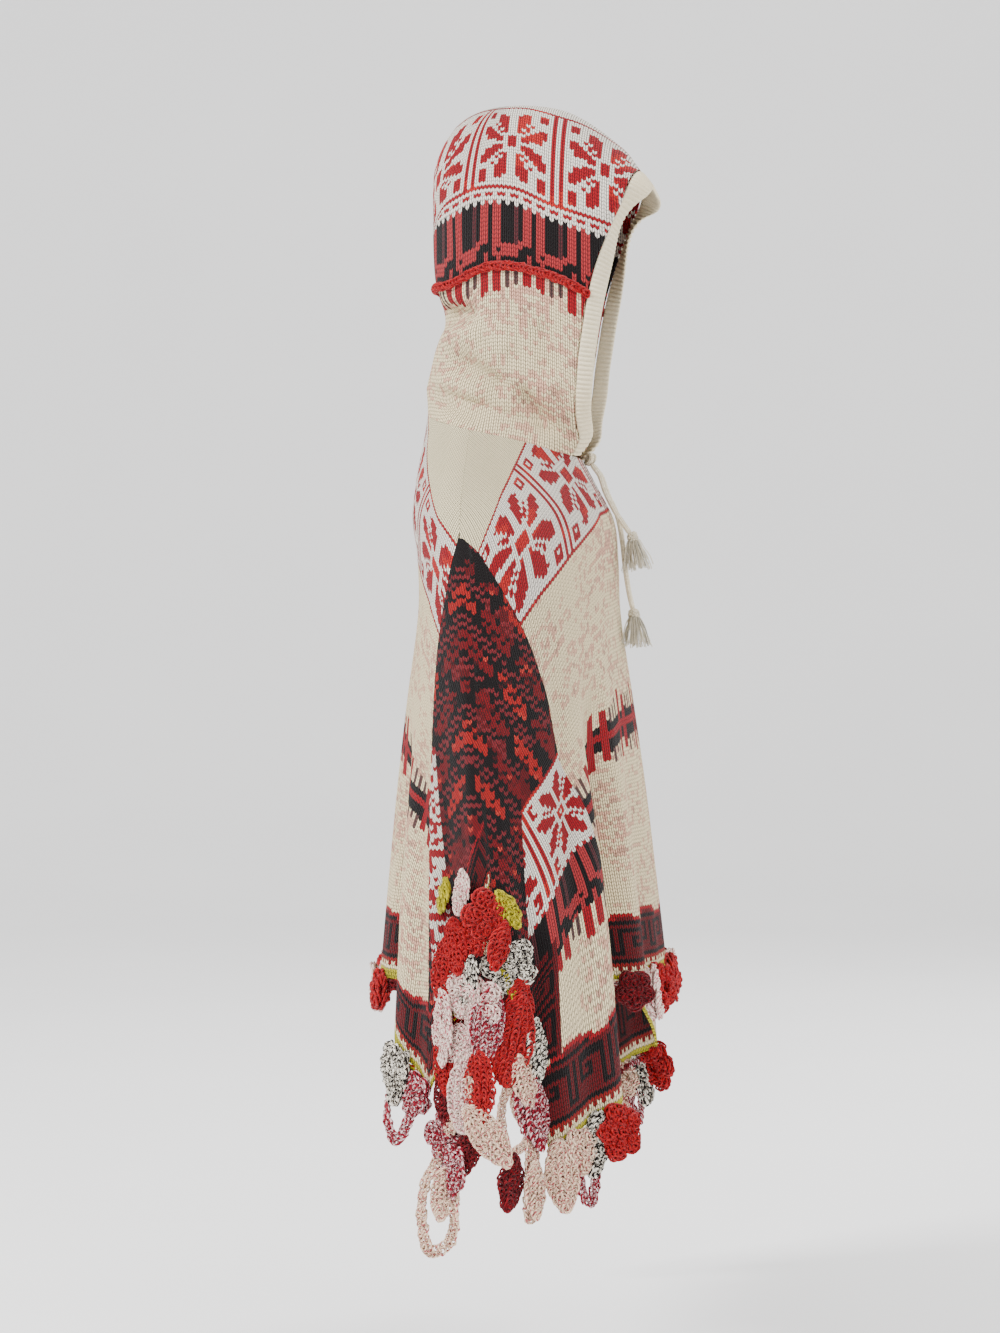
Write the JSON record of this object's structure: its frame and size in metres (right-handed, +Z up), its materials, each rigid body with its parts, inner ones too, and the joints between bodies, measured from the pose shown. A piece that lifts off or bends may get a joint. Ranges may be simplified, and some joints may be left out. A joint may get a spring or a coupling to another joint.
{
  "type": "hooded knit poncho with crocheted garland hem",
  "caption": "Hooded knit poncho in its worn shape, with ribbed face band, drawstring with tassels, side slits and a hem garland of crocheted flowers, leaves and chains.",
  "frame": {"origin": "middle of the neck base, where the wearer's neck and shoulders hold the poncho", "axes": "+X is the wearer's front, +Y the wearer's left, +Z up along the body"},
  "size_m": [0.3137, 0.6008, 1.1479],
  "materials": {
    "cream_knit": "plain and jacquard wool knit, cream ground",
    "cream_rib": "ribbed wool knit",
    "dark_knit": "jacquard wool knit, near-black and red",
    "red_yarn": "crocheted red wool chain",
    "cream_cord": "tubular knit cord with yarn tassels",
    "garland_yarn": "crocheted red, pink and marl yarns"
  },
  "bodies": {
    "root": {"back_panel": "cream_knit", "drawstring_knot": "cream_cord", "drawstring_left": "cream_cord", "drawstring_right": "cream_cord", "front_panel": "cream_knit", "garland_back_flap_left": "garland_yarn", "garland_back_flap_right": "garland_yarn", "garland_back_hem": "garland_yarn", "garland_front_flap_left": "garland_yarn", "garland_front_flap_right": "garland_yarn", "garland_front_hem": "garland_yarn", "garland_slit_left": "garland_yarn", "garland_slit_right": "garland_yarn", "hood_band": "cream_rib", "hood_chain": "red_yarn", "hood_left": "cream_knit", "hood_right": "cream_knit", "side_panel_left": "dark_knit", "side_panel_right": "dark_knit", "tassel_left": "cream_cord", "tassel_right": "cream_cord"}
  },
  "joints": []
}
